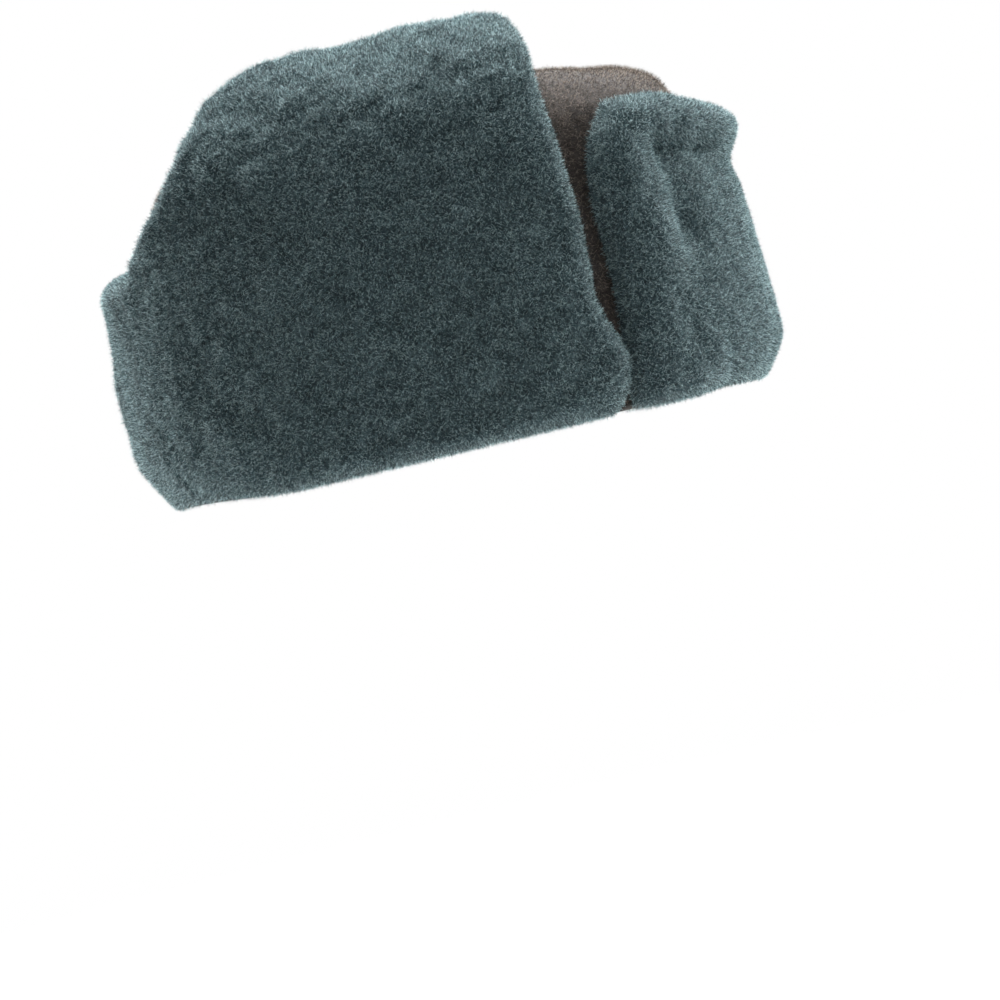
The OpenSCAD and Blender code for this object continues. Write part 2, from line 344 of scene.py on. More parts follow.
def strand_material(name, dark, mid, light, rough=0.5, through=0.3, tuft=1200.0):
    """Single fibres that let some light through, each with its own tone, with painted shade towards the root: each
    fibre is darkened to a quarter there, for the shade deep in the pile.
    """
    m, nt, bs = material(name)
    hi = nt.nodes.new("ShaderNodeHairInfo")
    v = coords(nt)
    clump = noise_tex(nt, v, tuft, 2.0, 0.6, 0.3)
    broad = noise_tex(nt, v, 40.0, 2.0, 0.5)
    f = math_node(nt, "ADD", math_node(nt, "MULTIPLY", hi.outputs["Random"], 0.75), math_node(nt, "MULTIPLY", clump, 0.7))
    f = math_node(nt, "ADD", f, math_node(nt, "MULTIPLY_ADD", broad, 0.1, -0.2))
    tone = ramp(nt, f, [(0.26, dark), (0.57, mid), (0.9, light)])
    # painted shade: the colour falls to a quarter at the root, standing for the shade deep in the pile
    root = ramp(nt, hi.outputs["Intercept"], [(0.0, (0.25, 0.25, 0.25, 1)), (0.8, (1, 1, 1, 1))])
    col = mix_col(nt, 1.0, tone, root, "MULTIPLY")
    nt.links.new(col, bs.inputs["Base Color"])
    bs.inputs["Roughness"].default_value = rough
    bs.inputs["Specular IOR Level"].default_value = 0.35
    tr = nt.nodes.new("ShaderNodeBsdfTranslucent")
    nt.links.new(col, tr.inputs[0])
    mx = nt.nodes.new("ShaderNodeMixShader")
    mx.inputs[0].default_value = through
    out = [n for n in nt.nodes if n.type == "OUTPUT_MATERIAL"][0]
    nt.links.new(bs.outputs[0], mx.inputs[1])
    nt.links.new(tr.outputs[0], mx.inputs[2])
    nt.links.new(mx.outputs[0], out.inputs[0])
    return m


def felt_material(name, dark, mid, light, pile=1.0):
    """Milled wool: a short fibre mat with paler and darker hairs."""
    m, nt, bs = material(name)
    v = coords(nt)
    fib = noise_tex(nt, coords(nt, (1, 1, 2.2)), 620.0, 4.0, 0.7, 1.6)
    mott = noise_tex(nt, v, 120.0, 3.0, 0.6, 0.5)
    patch = noise_tex(nt, v, 18.0, 2.0, 0.5)
    mixed = math_node(nt, "ADD", math_node(nt, "MULTIPLY", fib, 0.65), math_node(nt, "MULTIPLY", mott, 0.35))
    col = ramp(nt, mixed, [(0.34, dark), (0.5, mid), (0.66, light)])
    tone = ramp(nt, patch, [(0.3, (0.86, 0.85, 0.84, 1)), (0.7, (1, 1, 1, 1))])
    nt.links.new(mix_col(nt, 1.0, col, tone, "MULTIPLY"), bs.inputs["Base Color"])
    bs.inputs["Roughness"].default_value = 0.95
    bs.inputs["Specular IOR Level"].default_value = 0.1
    bs.inputs["Sheen Weight"].default_value = 0.25
    bs.inputs["Sheen Roughness"].default_value = 0.6
    bump(nt, bs, mixed, 0.8, 0.0008 * pile)
    return m


def weave_material(name, dark, light, pitch_mm, gloss=0.85, sheen=0.0):
    """Plain weave of crossing threads."""
    m, nt, bs = material(name)
    v = coords(nt)
    sep = nt.nodes.new("ShaderNodeSeparateXYZ")
    nt.links.new(v, sep.inputs[0])
    k = 2 * math.pi / (pitch_mm * MM)
    around = math_node(nt, "ADD", sep.outputs[0], sep.outputs[1])
    w1 = math_node(nt, "SINE", math_node(nt, "MULTIPLY", around, k), 0.0)
    w2 = math_node(nt, "SINE", math_node(nt, "MULTIPLY", sep.outputs[2], k), 0.0)
    h = math_node(nt, "MULTIPLY_ADD", math_node(nt, "MULTIPLY", w1, w2), 0.5)
    spot = noise_tex(nt, v, 240.0, 3.0, 0.6)
    f = math_node(nt, "ADD", math_node(nt, "MULTIPLY", h, 0.45), math_node(nt, "MULTIPLY", spot, 0.75))
    nt.links.new(ramp(nt, f, [(0.15, dark), (0.85, light)]), bs.inputs["Base Color"])
    bs.inputs["Roughness"].default_value = gloss
    bs.inputs["Specular IOR Level"].default_value = 0.3
    if sheen:
        bs.inputs["Sheen Weight"].default_value = sheen
    bump(nt, bs, f, 0.5, 0.0004)
    return m


def leather_material():
    m, nt, bs = material("sweatband_leather")
    v = coords(nt)
    vor = nt.nodes.new("ShaderNodeTexVoronoi")
    vor.feature = "DISTANCE_TO_EDGE"
    vor.inputs["Scale"].default_value = 900.0
    nt.links.new(v, vor.inputs["Vector"])
    big = noise_tex(nt, v, 45.0, 3.0, 0.6)
    grain = math_node(nt, "MINIMUM", math_node(nt, "MULTIPLY", vor.outputs[0], 6.0), 1.0)
    f = math_node(nt, "ADD", math_node(nt, "MULTIPLY", big, 0.7), math_node(nt, "MULTIPLY", grain, 0.3))
    nt.links.new(ramp(nt, f, [(0.25, srgb(74, 50, 36)), (0.8, srgb(140, 104, 80))]), bs.inputs["Base Color"])
    nt.links.new(ramp(nt, big, [(0.2, (0.42, 0.42, 0.42, 1)), (0.8, (0.62, 0.62, 0.62, 1))]), bs.inputs["Roughness"])
    bump(nt, bs, grain, 0.35, 0.0003)
    return m


M_FUR = fur_material()
M_STRAND = strand_material("fur_fibres", srgb(5, 16, 20), srgb(62, 94, 100), srgb(212, 240, 242))
M_FELT = felt_material("crown_felt", srgb(22, 19, 17), srgb(46, 40, 36), srgb(84, 76, 70))
M_FELT_HAIR = strand_material("felt_fibres", srgb(20, 16, 14), srgb(72, 62, 55), srgb(190, 176, 163), 0.7)
M_BACK = felt_material("flap_felt", srgb(24, 21, 19), srgb(50, 44, 40), srgb(88, 80, 74), 0.7)
M_CANVAS = weave_material("canvas", srgb(120, 110, 92), srgb(186, 176, 154), 0.9)
M_WAD = felt_material("cotton_wadding", srgb(150, 146, 138), srgb(196, 192, 184), srgb(226, 222, 214), 1.5)
M_LINING = weave_material("quilted_satin", srgb(70, 76, 84), srgb(122, 129, 138), 0.35, 0.42, 0.3)
M_LEATHER = leather_material()
M_TAPE = weave_material("cotton_tape", srgb(26, 25, 24), srgb(62, 60, 57), 0.7)
M_THREAD = weave_material("sewing_thread", srgb(120, 106, 88), srgb(188, 172, 150), 0.3)


# ------------------------------------------------------------------ hair on the fur and felt
def pile(ob, verts, per_mm2, length, lean, seed, slot, radius=0.11, tip=0.35, wild=0.0):
    """Seeded short fibres on the first verts vertices' faces of ob."""
    g = ob.vertex_groups.new(name="pile")
    g.add([int(i) for i in range(verts)], 1.0, "REPLACE")
    me = ob.data
    area = sum(p.area for p in me.polygons if all(v < verts for v in p.vertices)) * 1e6
    mod = ob.modifiers.new("pile", "PARTICLE_SYSTEM")
    ps = ob.particle_systems[-1]
    st = ps.settings
    st.type = "HAIR"
    share = 1.0
    st.count = int(area * per_mm2 * share)
    st.emit_from = "FACE"
    st.use_even_distribution = True
    st.distribution = "RAND"
    st.use_emit_random = True
    st.use_advanced_hair = True
    st.hair_step = 3
    st.display_step = 2
    st.render_step = 2
    st.normal_factor = length * MM / 4
    st.factor_random = lean * MM / 4
    st.brownian_factor = wild
    st.length_random = 0.5 if hasattr(st, "length_random") else 0.5
    st.root_radius = 1.0
    st.tip_radius = tip
    st.radius_scale = radius * MM / 1.0
    st.material = slot
    st.display_method = "NONE"
    ps.vertex_group_density = "pile"
    ps.seed = seed
    ob.show_instancer_for_render = True
    return area


# ------------------------------------------------------------------ flaps
def table(w, pts):
    return np.interp(w, [p[0] for p in pts], [p[1] for p in pts])


def soften(w, pts, r=0.05):
    """The table's value, rounded over r each way."""
    return sum(table(w + o * r, pts) for o in (-1, -0.5, 0, 0.5, 1)) / 5


EAR_FRONT = [(0, 54.5), (0.03, 59), (0.07, 62.6), (0.13, 64.7), (0.2, 64.7), (0.25, 63.4), (0.3, 61.3), (0.35, 59), (0.4, 57.6), (0.45, 57), (0.5, 57.2), (0.6, 58.8),
             (0.7, 59.2), (0.85, 58), (1.0, 57.7), (1.08, 57.6), (1.3, 55.5), (1.56, 55.6), (1.68, 54.6), (1.78, 52.8), (1.88, 50.5), (2.0, 45), (2.08, 39), (2.167, 30)]
EAR_REAR = [(0.9, 114), (1, 103.5), (1.03, 102), (1.12, 96), (1.21, 90.3), (1.33, 83), (1.47, 78), (1.67, 69.5), (1.77, 57.5), (1.88, 43.5), (2, 33.5), (2.08, 28), (2.167, 22)]
END_W = 1 + 105 / 90


def ear_grid(nu, nv, w0=0.0, w1=END_W, inset=0.0):
    w = w0 + (w1 - w0) * spread(nv, 9, 195, 0)
    w = w[:, None] * np.ones((1, nu + 1))
    tf = np.arccos((soften(w, EAR_FRONT) / (A + FLAP0 + FUR1 / 2)) ** (1 / E))
    rear = np.minimum(math.pi - SEAM_T - math.radians(0.07),
                      math.pi - np.arccos(np.minimum(soften(w, EAR_REAR, 0.02) / (A + FLAP0 + FUR1 / 2), 0.999) ** (1 / E)))
    u = spread(nu, 9, 190, 0)[None, :]
    if inset:
        u = inset / 190 + u * (1 - 2 * inset / 190)
    t = tf + (rear - tf) * u
    return t, w


def edge_fields(p):
    u, v = row_len(p)
    return u, u[:, -1:] - u, v, v[-1:, :] - v


def relief(p, seed, amp):
    """Slow swell, soft creases and fibre clumps of the pile, in mm."""
    return amp * (0.9 * Waves(seed, 46)(p) + 0.45 * Waves(seed + 1, 17)(p)) + 0.22 * Waves(seed + 2, 5.5)(p) + 0.16 * Waves(seed + 3, 2.6)(p)


def slow_roll(e, r, k=0.45):
    """A hem that rolls in slowly over r."""
    return k * lip(e, r) + (1 - k) * smooth(0, 1.1 * r, e)


def dent(dist2, depth, size):
    return -depth * np.exp(-dist2 / (2 * size * size))


def line_dent(p, a, b, depth, size):
    """A soft crease along a line in the X-Z plane."""
    a, b = np.array(a, float), np.array(b, float)
    q = p[..., [0, 2]]
    d = b - a
    k = np.clip(((q - a) @ d) / (d @ d), 0, 1)
    dist2 = ((q - (a + k[..., None] * d)) ** 2).sum(-1)
    return dent(dist2, depth, size)


DROOP = 2.0


def droop(z):
    """How far the pile hangs below the rim at height z."""
    return -DROOP * (1 - smooth(0, 16, z)) * (1 - 0.5 * smooth(0, 4, -z))


def ear_fur(side, sign, seed):
    nu, nv = 132, 156
    t, w = ear_grid(nu, nv)
    mid = ear_pt(t, w, FUR1)
    ef, er, eb, et = edge_fields(mid)
    r_rear = 0.7 + 8.3 * smooth(0.86, 0.98, w)
    rear = smooth(-70, -112, mid[..., 0])
    f = lip(ef, 8.5) * lip(er, r_rear) * (lip(eb, 8.0) * (1 - rear) + slow_roll(eb, 20) * rear) * lip(et, 9.0)
    e = np.minimum(np.minimum(ef, er * 9 / r_rear), np.minimum(eb, et))
    body = relief(mid * [1, sign, 1], seed, 0.9)
    if side == "right":
        body += line_dent(mid, (-86, 38), (-74, 27), 2.2, 3.6) + line_dent(mid, (-106, 25), (-100, 20), 1.2, 2.6)
        body += line_dent(mid, (-52, 14), (-30, 9), 0.7, 5) + line_dent(mid, (12, 60), (34, 40), 0.6, 8)
    hem = 0.7
    d_out = hem + (FUR1 - 1.2 - hem + body) * f
    d_in = hem + (FUR0 - hem) * smooth(0, 5, e)
    hang = droop(mid[..., 2]) * (1 - rear)

    def sag(d):
        p = ear_pt(t, w, d)
        p[..., 2] += hang * smooth(1, 6, d)
        return p * [1, sign, 1]
    return lip_slab(f"{side}_ear_fur", sag(d_out), sag(np.minimum(d_in, d_out)), [M_FUR, M_STRAND])


def ear_layer(name, sign, d0, d1, mat, inset=3.5, w0=0.004, w1=END_W - 0.03, nv=60):
    nu = 60
    t, w = ear_grid(nu, nv, w0, w1, inset)
    return wall_slab(name, ear_pt(t, w, d0) * [1, sign, 1], ear_pt(t, w, d1) * [1, sign, 1], mat)


VIS_REAR = [(0, 65.5), (0.03, 65), (0.07, 65.5), (0.12, 66), (0.2, 67), (0.3, 68.6), (0.45, 69), (0.7, 68.5), (0.82, 70.5), (0.92, 75), (1.0, 83)]


def visor_top(t):
    s = np.minimum(np.abs(sy(t)) / 0.62, 1)
    return 103.5 + 7 * s * s + 2.7 * smooth(109, 95, (A + FLAP0 + FUR1 / 2) * cx(t))


def visor_grid(nu, nv, inset=0.0, low=0.004):
    w = spread(nv, 9, 115, 0)
    if inset:
        w = low + w * (1 - low - inset / 115)
    w = w[:, None] * np.ones((1, nu + 1))
    te = np.arccos((soften(w, VIS_REAR, 0.04) / (A + FLAP0 + FUR1 / 2)) ** (1 / E))
    u = spread(nu, 9, 262, 0)[None, :]
    if inset:
        u = inset / 262 + u * (1 - 2 * inset / 262)
    t = -te + 2 * te * u
    return t, w, FLAP_Z0 + (visor_top(t) - FLAP_Z0) * w


VIS_FRONT = [(0, 8.8), (6, 10.1), (12, 11.4), (20, 12.5), (28, 12.8), (36, 12.6), (48, 12.2), (60, 12.1), (72, 11.6), (79, 10.2), (84.5, 9.2), (88.5, 10.6), (93, 13.8), (98, 14.8), (106, 14.4)]


def visor_fur(seed):
    nu, nv = 190, 110
    t, w, z = visor_grid(nu, nv)
    mid = flap_pt(t, z, FUR1)
    ea, eb_, e0, e1 = edge_fields(mid)
    x = mid[..., 0]
    ahead = smooth(92, 112, x)
    f = lip(ea, 13) * lip(eb_, 13) * (lip(e0, 8) * (1 - ahead) + slow_roll(e0, 15, 0.72) * ahead) * lip(e1, 10 - 3 * ahead)
    e = np.minimum(np.minimum(ea, eb_), np.minimum(e0, e1))
    front = (table(z - 1.5, VIS_FRONT) + table(z, VIS_FRONT) + table(z + 1.5, VIS_FRONT)) / 3
    side = 13.2 + 0.6 * np.exp(-((z - 102) ** 2) / (2 * 8.0 ** 2))
    body = side + (front - side) * ahead + relief(mid, seed, 0.75) * (1 - 0.35 * ahead)
    q = mid * [1, 0, 1]
    body += 1.6 * np.exp(-((x - 84) ** 2) / (2 * 9.0 ** 2)) * smooth(15, 50, z)
    body += line_dent(q, (98, 91), (100, 62), 5.0, 4.0) + line_dent(q, (100.5, 62), (101.5, 42), 1.8, 4.5)
    body += line_dent(q, (97.5, 92.5), (116.5, 90), 5.6, 3.2) + 1.0 * np.exp(-((z - 100) ** 2) / (2 * 4.0 ** 2)) * smooth(92, 100, x)
    body += line_dent(q, (75, 34), (84, 14), 1.6, 4.0) + line_dent(q, (86, 40), (92, 22), 1.0, 5.0)
    hem = 0.7
    d_out = hem + (body - hem) * f
    d_in = hem + (FUR0 - hem) * smooth(0, 5, e)
    hang = droop(z) * (1 - smooth(88, 112, x))
    d_in = np.minimum(d_in, d_out)
    return lip_slab("visor_fur_pile", flap_pt(t, z + hang * smooth(1, 6, d_out), d_out), flap_pt(t, z + hang * smooth(1, 6, d_in), d_in), [M_FUR, M_STRAND])


def visor_layer(name, d0, d1, mat, inset=4.0, low=0.004):
    t, w, z = visor_grid(80, 60, inset, low)
    return wall_slab(name, flap_pt(t, z, d0), flap_pt(t, z, d1), mat)


def neck_grid(nu, nv, inset=0.0, low=0.004):
    w = spread(nv, 9, 95, 0)
    u = spread(nu, 4, 125, 0)
    if inset:
        w = low + w * (1 - low - inset / 95)
        u = inset / 125 + u * (1 - 2 * inset / 125)
    g = math.radians(0.07)
    t = (math.pi - SEAM_T + g) + (2 * SEAM_T - 2 * g) * u[None, :] + 0 * w[:, None]
    return t, FLAP_Z0 + (NECK_H - FLAP_Z0) * w[:, None] + 0 * t


def neck_fur(seed):
    t, z = neck_grid(92, 76)
    mid = flap_pt(t, z, FUR1)
    ea, eb_, e0, e1 = edge_fields(mid)
    f = lip(ea, 0.7) * lip(eb_, 0.7) * slow_roll(e0, 20) * lip(e1, 9)
    e = np.minimum(np.minimum(ea, eb_) * 6, np.minimum(e0, e1))
    body = relief(mid, seed, 0.7) + (0.9 * (z - 40) / 40 - 1.3) * np.exp(-((mid[..., 1] / 45.0) ** 2))
    hem = 0.7
    d_out = hem + (FUR1 - 1.4 - hem + body) * f
    d_in = hem + (FUR0 - hem) * smooth(0, 5, e)
    return lip_slab("neck_fur_pile", flap_pt(t, z, d_out), flap_pt(t, z, np.minimum(d_in, d_out)), [M_FUR, M_STRAND])


def neck_layer(name, d0, d1, mat, inset=4.0, low=0.004):
    t, z = neck_grid(40, 72, inset, low)
    return wall_slab(name, flap_pt(t, z, d0), flap_pt(t, z, d1), mat)


# ------------------------------------------------------------------ crown
def felt_panel(name, t0, t1, seed):
    """One wall panel; the slow swells run on from panel to panel."""
    nu, nv = 84, 92
    g = math.radians(0.01)
    t = np.radians(t0) + g + (np.radians(t1 - t0) - 2 * g) * spread(nu, 4, 110, 0)[None, :] + np.zeros((nv + 1, 1))
    s = 0.755 * np.linspace(0, 1, nv + 1)[:, None] + 0 * t
    p = crown_pt(t, s, FEL1)
    ea, eb_, e0, e1 = edge_fields(p)
    roll = 0.12 * (1 - lip(ea, 1.5)) + 0.12 * (1 - lip(eb_, 1.5)) + 0.12 * (1 - lip(e1, 1.5))
    o = FEL1 - np.minimum(roll, 1.9) + 0.35 * Waves(11, 38)(p) + 0.16 * Waves(12, 11)(p) + 0.07 * Waves(13, 2.4)(p) - 0.35
    inner = crown_pt(t, s, FEL0)
    return wall_slab(name, crown_pt(t, s, o), inner, [M_FELT, M_FELT_HAIR]), (nu + 1) * (nv + 1)


def cap_mesh(name, s0, o_in, o_out, mats, nt_, ns, swell=None):
    """A closed cap from s0 to the middle of the top."""
    t = np.linspace(0, 2 * math.pi, nt_, endpoint=False)[None, :] + np.zeros((ns, 1))
    s = (s0 + (1 - s0) * np.linspace(0, 1, ns, endpoint=False))[:, None] + 0 * t
    p = crown_pt(t, s, o_out)
    o = o_out + (swell(p) if swell else 0 * t)
    P = crown_pt(t, s, o).reshape(-1, 3)
    Q = crown_pt(t, s, o_in + 0 * t).reshape(-1, 3)
    n = len(P)
    apex = crown_pt(np.array([0.0]), np.array([1.0]), np.array([float(o_out)]))
    apex2 = crown_pt(np.array([0.0]), np.array([1.0]), np.array([float(o_in)]))
    if swell:
        apex = apex + [0, 0, float(swell(apex)[0])]
    faces = []
    for i in range(ns - 1):
        for j in range(nt_):
            a, b = i * nt_ + j, i * nt_ + (j + 1) % nt_
            faces.append((a, b, b + nt_, a + nt_))
            faces.append((n + 1 + a, n + 1 + a + nt_, n + 1 + b + nt_, n + 1 + b))
    for j in range(nt_):
        a, b = (ns - 1) * nt_ + j, (ns - 1) * nt_ + (j + 1) % nt_
        faces.append((a, b, n))
        faces.append((n + 1 + b, n + 1 + a, n + 1 + n))
        k = (j + 1) % nt_
        faces.append((k, j, n + 1 + j, n + 1 + k))
    return make(name, np.concatenate([P, apex, Q, apex2]), faces, mats), n + 1


def top_swell(seed):
    w1, w2, w3 = Waves(11, 38), Waves(12, 11), Waves(13, 2.4)

    def f(p):
        rho = ((np.abs(p[..., 0]) / (A + FEL1)) ** N + (np.abs(p[..., 1]) / (B + FEL1)) ** N) ** (1 / N)
        e = (0.712 - rho) * 100
        return 0.35 * w1(p) + 0.16 * w2(p) + 0.07 * w3(p) - 0.35 - 0.12 * (1 - lip(np.maximum(e, 0), 1.5))
    return f


def quilt(p, t=None):
    """Diamond quilting: puffed between stitched diagonals, in mm."""
    ang = np.arctan2(p[..., 1] / B, p[..., 0] / A)
    a = ang * 92.0
    z = p[..., 2]
    k = 2 * math.pi / 34.0
    d1 = np.abs(np.sin((a + z) * k / 2))
    d2 = np.abs(np.sin((a - z) * k / 2))
    return 1.5 * np.minimum(np.minimum(d1, d2) * 2.0, 1.0) ** 0.6


def quilt_top(p):
    k = 2 * math.pi / 34.0
    d1 = np.abs(np.sin((p[..., 0] + p[..., 1]) * k / 2))
    d2 = np.abs(np.sin((p[..., 0] - p[..., 1]) * k / 2))
    return 1.5 * np.minimum(np.minimum(d1, d2) * 2.0, 1.0) ** 0.6


def lining_panel(name, t0, t1):
    nu, nv = 96, 96
    g = math.radians(0.12)
    t = np.radians(t0) + g + (np.radians(t1 - t0) - 2 * g) * np.linspace(0, 1, nu + 1)[None, :] + np.zeros((nv + 1, 1))
    s = 0.75 * np.linspace(0, 1, nv + 1)[:, None] + 0 * t
    p = crown_pt(t, s, LIN0)
    puff = quilt(p) * smooth(0.2, 0.26, s)
    return wall_slab(name, crown_pt(t, s, LIN1 + 0 * t), crown_pt(t, s, LIN0 + 1.0 - puff), M_LINING)


def oval(o, n):
    t = np.linspace(0, 2 * math.pi, n, endpoint=False)
    return t, (A + o) * cx(t), (B + o) * sy(t)


def section_ring(name, section, n, mats):
    """A closed ring round the head opening with a closed section of (outward, height) points."""
    t = np.linspace(0, 2 * math.pi, n, endpoint=False)
    m = len(section)
    v = np.zeros((n, m, 3))
    for j, (o, z) in enumerate(section):
        v[:, j, 0], v[:, j, 1], v[:, j, 2] = (A + o) * cx(t), (B + o) * sy(t), z + rise((A + o) * cx(t), z)
    faces = []
    for i in range(n):
        k = (i + 1) % n
        for j in range(m):
            l = (j + 1) % m
            faces.append((i * m + j, k * m + j, k * m + l, i * m + l))
    return make(name, v.reshape(-1, 3), faces, mats)


def rounded(o0, o1, z0, z1, r, steps=4):
    pts = []
    for (ox, oz), a0 in (((o1 - r, z0 + r), -90), ((o1 - r, z1 - r), 0), ((o0 + r, z1 - r), 90), ((o0 + r, z0 + r), 180)):
        for i in range(steps + 1):
            a = math.radians(a0 + 90 * i / steps)
            pts.append((ox + r * math.cos(a), oz + r * math.sin(a)))
    return pts


# ------------------------------------------------------------------ build: crown
for side, t0, t1, seed in (("front", -45, 45, 11), ("back", 135, 225, 21), ("left", 45, 135, 31), ("right", 225, 315, 41)):
    ob, n = felt_panel(f"crown_{side}_felt", t0, t1, seed)
    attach(ob, "hat")
    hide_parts(f"crown_{side}_panel")
    pile(ob, n, 3.6, 0.75, 2.2, seed, 2, 0.1)
    ob = lining_panel(f"lining_{side}_quilt", t0, t1)
    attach(ob, "hat")
    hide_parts(f"lining_{side}_panel")

ob, n = cap_mesh("crown_top_felt", 0.7552, FEL0, FEL1, [M_FELT, M_FELT_HAIR], 220, 64, top_swell(51))
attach(ob, "hat")
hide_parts("crown_top_panel")
pile(ob, n, 3.6, 0.75, 2.2, 51, 2, 0.1)
ob, n = cap_mesh("crown_canvas", 0.0, CAN0, CAN1, M_CANVAS, 96, 30)
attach(ob, "hat")
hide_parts("crown_interlining")
ob, n = cap_mesh("crown_cotton_wadding", 0.0, WAD0, WAD1, M_WAD, 96, 30)
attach(ob, "hat")
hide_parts("crown_wadding")


def lining_top_mesh():
    nt_, ns = 160, 48
    t = np.linspace(0, 2 * math.pi, nt_, endpoint=False)[None, :] + np.zeros((ns, 1))
    s = (0.7506 + 0.2494 * np.linspace(0, 1, ns, endpoint=False))[:, None] + 0 * t
    P = crown_pt(t, s, LIN1 + 0 * t).reshape(-1, 3)
    Q = crown_pt(t, s, LIN0 + 1.0 - quilt_top(crown_pt(t, s, LIN0 + 0 * t))).reshape(-1, 3)
    n = len(P)
    a1 = crown_pt(np.array([0.0]), np.array([1.0]), np.array([LIN1]))
    a2 = crown_pt(np.array([0.0]), np.array([1.0]), np.array([LIN0 + 0.9]))
    faces = []
    for i in range(ns - 1):
        for j in range(nt_):
            a, b = i * nt_ + j, i * nt_ + (j + 1) % nt_
            faces.append((a, b, b + nt_, a + nt_))
            faces.append((n + 1 + a, n + 1 + a + nt_, n + 1 + b + nt_, n + 1 + b))
    for j in range(nt_):
        a, b = (ns - 1) * nt_ + j, (ns - 1) * nt_ + (j + 1) % nt_
        faces.append((a, b, n))
        faces.append((n + 1 + b, n + 1 + a, n + 1 + n))
        k = (j + 1) % nt_
        faces.append((k, j, n + 1 + j, n + 1 + k))
    return make("lining_top_quilt", np.concatenate([P, a1, Q, a2]), faces, M_LINING)


ob = lining_top_mesh()
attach(ob, "hat")
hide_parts("lining_top")
ob = section_ring("sweatband_leather_band", rounded(-1.6, 0.0, 0.6, 38.0, 0.75, 3), 260, M_LEATHER)
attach(ob, "hat")
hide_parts("sweatband")


def stitch_row(name, o, z, count, length, thick):
    """A row of short stitches round the head opening, each a small closed spindle."""
    verts, faces = [], []
    for i in range(count):
        t = 2 * math.pi * (i + 0.5) / count
        step = 1e-3
        p = np.array([(A + o) * float(cx(t)), (B + o) * float(sy(t)), 0.0])
        d = np.array([(A + o) * float(cx(t + step) - cx(t - step)), (B + o) * float(sy(t + step) - sy(t - step)), 0.0])
        d /= np.linalg.norm(d)
        p[2] = z + float(rise(p[0], z))
        across = np.array([0.0, 0.0, 1.0])
        inward = np.cross(d, across)
        k = len(verts)
        for u, r in ((-0.5, 0.35), (-0.25, 1.0), (0.25, 1.0), (0.5, 0.35)):
            for j in range(6):
                a = math.pi * j / 3
                verts.append(p + d * u * length + (across * math.cos(a) + inward * math.sin(a)) * thick * r / 2)
        for m in range(3):
            for j in range(6):
                q = (j + 1) % 6
                faces.append((k + m * 6 + j, k + m * 6 + q, k + m * 6 + 6 + q, k + m * 6 + 6 + j))
        faces.append(tuple(k + j for j in range(5, -1, -1)))
        faces.append(tuple(k + 18 + j for j in range(6)))
    return make(name, np.array(verts), faces, M_THREAD)


for name, z in (("sweatband_lower_stitching", 3.4), ("sweatband_upper_stitching", 35.4)):
    ob = stitch_row(name, -1.65, z, 150, 2.6, 0.7)
    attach(ob, "hat")
ob = section_ring("rim_binding_tape", rounded(0.1, 12.6, 0.0, 3.0, 1.3, 4), 260, M_TAPE)
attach(ob, "hat")
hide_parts("rim_binding")

# ------------------------------------------------------------------ build: flaps
FUR_PILE = dict(per_mm2=6.4, length=0.95, lean=1.6)


def nap(ob, seed):
    """Felt fibres on the side of a flap's backing that faces the crown."""
    ob.data.materials.append(M_FELT_HAIR)
    pile(ob, len(ob.data.vertices) // 2, 2.6, 0.7, 2.0, seed, 2, 0.1)


def dress(ob, n, seed):
    pile(ob, n, FUR_PILE["per_mm2"], FUR_PILE["length"], FUR_PILE["lean"], seed, 2, 0.105, 0.45)


ob, n = visor_fur(61)
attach(ob, "visor")
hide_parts("visor_fur")
dress(ob, n, 61)
ob = visor_layer("visor_felt_back", 0.0, BACK_T, M_BACK)
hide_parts("visor_backing")
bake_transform(ob)
nap(ob, 62)
ob = visor_layer("visor_canvas", STF0, STF1, M_CANVAS, 7.0, 0.2)
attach(ob, "visor")
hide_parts("visor_interlining")

ob, n = neck_fur(71)
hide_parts("neck_flap_fur")
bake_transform(ob)
dress(ob, n, 71)
ob = neck_layer("neck_felt_back", 0.0, BACK_T, M_BACK)
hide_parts("neck_flap_backing")
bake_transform(ob)
nap(ob, 72)
ob = neck_layer("neck_canvas", STF0, STF1, M_CANVAS, 7.0, 0.2)
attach(ob, "neck_flap")
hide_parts("neck_flap_interlining")

SPLIT_W = 0.62
for side, sign, seed in (("right", -1, 81), ("left", 1, 91)):
    ob, n = ear_fur(side, sign, seed)
    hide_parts(f"{side}_ear_flap_fur", f"{side}_ear_tip_fur")
    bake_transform(ob)
    dress(ob, n, seed)
    ob = ear_layer(f"{side}_ear_felt_back", sign, 0.0, BACK_T, M_BACK, w1=SPLIT_W)
    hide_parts(f"{side}_ear_flap_backing")
    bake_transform(ob)
    nap(ob, seed + 1)
    ob = ear_layer(f"{side}_ear_felt_end", sign, 0.0, BACK_T, M_BACK, w0=SPLIT_W)
    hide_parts(f"{side}_ear_tip_backing")
    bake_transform(ob)
    nap(ob, seed + 2)
    ob = ear_layer(f"{side}_ear_canvas", sign, STF0, STF1, M_CANVAS, 7.0, 0.18, 1.10)
    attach(ob, f"{side}_ear_flap")
    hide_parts(f"{side}_ear_flap_interlining")
    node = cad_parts[f"{side}_tie_loop"]
    node.data.materials.clear()
    node.data.materials.append(M_TAPE)

# ------------------------------------------------------------------ stage, light and camera
FLOOR_Z = -0.215


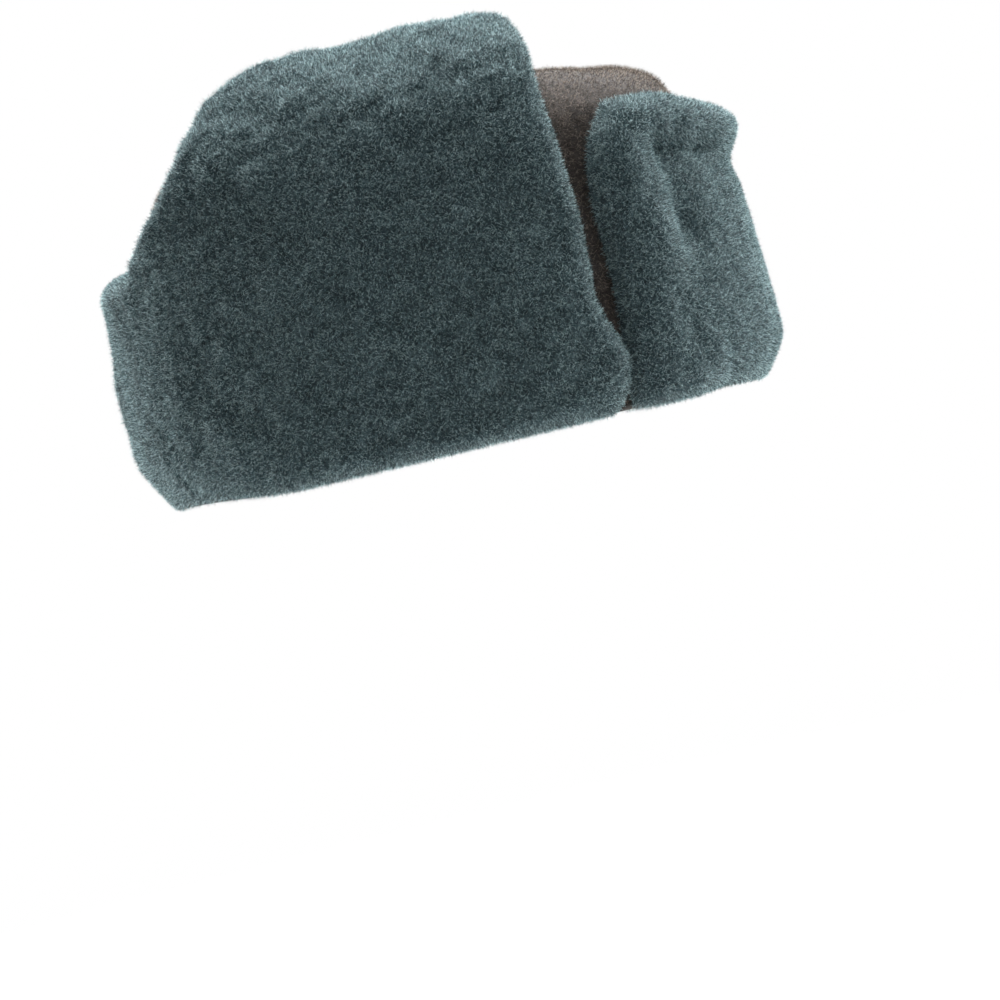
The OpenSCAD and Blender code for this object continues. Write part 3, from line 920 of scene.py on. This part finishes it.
def studio():
    """A pale round floor that fades into the white surround."""
    n, rings = 96, [0.15, 0.4, 0.8, 1.3, 1.9]
    verts = [(0, 0, FLOOR_Z)]
    for r in rings:
        verts += [(r * math.cos(2 * math.pi * j / n), r * math.sin(2 * math.pi * j / n), FLOOR_Z) for j in range(n)]
    faces = [(0, 1 + j, 1 + (j + 1) % n) for j in range(n)]
    for i in range(len(rings) - 1):
        for j in range(n):
            a, b = 1 + i * n + j, 1 + i * n + (j + 1) % n
            faces.append((a, a + n, b + n, b))
    me = bpy.data.meshes.new("studio_floor")
    me.from_pydata(verts, [], faces)
    ob = bpy.data.objects.new("studio_floor", me)
    scene.collection.objects.link(ob)
    m, nt, bs = material("studio_paper")
    v = coords(nt)
    r = nt.nodes.new("ShaderNodeVectorMath")
    r.operation = "LENGTH"
    flat = nt.nodes.new("ShaderNodeMapping")
    flat.inputs["Scale"].default_value = (1, 1, 0)
    nt.links.new(v, flat.inputs[0])
    nt.links.new(flat.outputs[0], r.inputs[0])
    paper = noise_tex(nt, v, 400.0, 2.0, 0.5)
    nt.links.new(ramp(nt, paper, [(0.2, (0.80, 0.80, 0.80, 1)), (0.8, (0.84, 0.84, 0.84, 1))]), bs.inputs["Base Color"])
    bs.inputs["Roughness"].default_value = 0.95
    bs.inputs["Specular IOR Level"].default_value = 0.05
    nt.links.new(ramp(nt, r.outputs["Value"], [(0.3, (1, 1, 1, 1)), (1.0, (0, 0, 0, 1))]), bs.inputs["Alpha"])
    me.materials.append(m)


studio()
world = bpy.data.worlds.new("studio_light")
world.use_nodes = True
wt = world.node_tree
bg = wt.nodes["Background"]
bg.inputs[0].default_value = (1.0, 1.0, 1.0, 1.0)
bg.inputs[1].default_value = 1.0
dome = wt.nodes.new("ShaderNodeBackground")
tc = wt.nodes.new("ShaderNodeTexCoord")
sep = wt.nodes.new("ShaderNodeSeparateXYZ")
wt.links.new(tc.outputs["Generated"], sep.inputs[0])
grade = wt.nodes.new("ShaderNodeValToRGB")
grade.color_ramp.elements[0].position, grade.color_ramp.elements[0].color = 0.0, (0.14, 0.14, 0.14, 1)
grade.color_ramp.elements[1].position, grade.color_ramp.elements[1].color = 1.0, (1.0, 1.0, 1.0, 1)
wt.links.new(sep.outputs[2], grade.inputs[0])
wt.links.new(grade.outputs[0], dome.inputs[0])
dome.inputs[1].default_value = 1.0
seen = wt.nodes.new("ShaderNodeLightPath")
both = wt.nodes.new("ShaderNodeMixShader")
wt.links.new(seen.outputs["Is Camera Ray"], both.inputs[0])
wt.links.new(dome.outputs[0], both.inputs[1])
wt.links.new(bg.outputs[0], both.inputs[2])
wt.links.new(both.outputs[0], wt.nodes["World Output"].inputs[0])
scene.world = world


def area(name, loc, target, size, power, colour=(1, 1, 1)):
    d = bpy.data.lights.new(name, "AREA")
    d.shape, d.size, d.size_y = "RECTANGLE", size[0], size[1]
    d.energy, d.color = power, colour
    o = bpy.data.objects.new(name, d)
    o.location = loc
    o.rotation_euler = (Vector(target) - Vector(loc)).to_track_quat("-Z", "Y").to_euler()
    o.visible_camera = False
    scene.collection.objects.link(o)


area("top_soft", (0.05, 0.25, 1.2), (0, 0, 0.08), (1.0, 0.8), 52.0)
area("front_soft", (1.3, 0.2, 0.5), (0.0, 0, 0.06), (0.7, 0.9), 40.0)
area("back_soft", (-1.2, 0.7, 0.45), (0.0, 0, 0.06), (0.7, 0.9), 32.0)
area("camera_fill", (0.2, -1.6, 0.7), (0.0, 0, 0.06), (1.0, 1.0), 5.0)

cam = bpy.data.cameras.new("photo_camera")
cam_ob = bpy.data.objects.new("photo_camera", cam)
scene.collection.objects.link(cam_ob)
scene.camera = cam_ob
roll = math.radians(13.5)
right = Vector((math.cos(roll), 0, -math.sin(roll)))
up = Vector((math.sin(roll), 0, math.cos(roll)))
back = right.cross(up)
dist = 1.8
centre = Vector((0.0059, 0.0, -0.0224))
# the eye is level with the rim, so the far side of the rim stays hidden
eye = centre + back * dist + Vector((0, 0, 0.0234))
back = (eye - centre).normalized()
right = up.cross(back).normalized()
up = back.cross(right)
cam_ob.matrix_world = Matrix(((right.x, up.x, back.x, eye.x), (right.y, up.y, back.y, eye.y), (right.z, up.z, back.z, eye.z), (0, 0, 0, 1)))
cam.sensor_width = 36.0
cam.lens = 36.0 * dist / 0.387
cam.clip_start, cam.clip_end = 0.05, 20.0
cam.dof.use_dof = False
scene.view_settings.view_transform = "Standard"
scene.view_settings.look = "None"

bpy.context.view_layer.update()
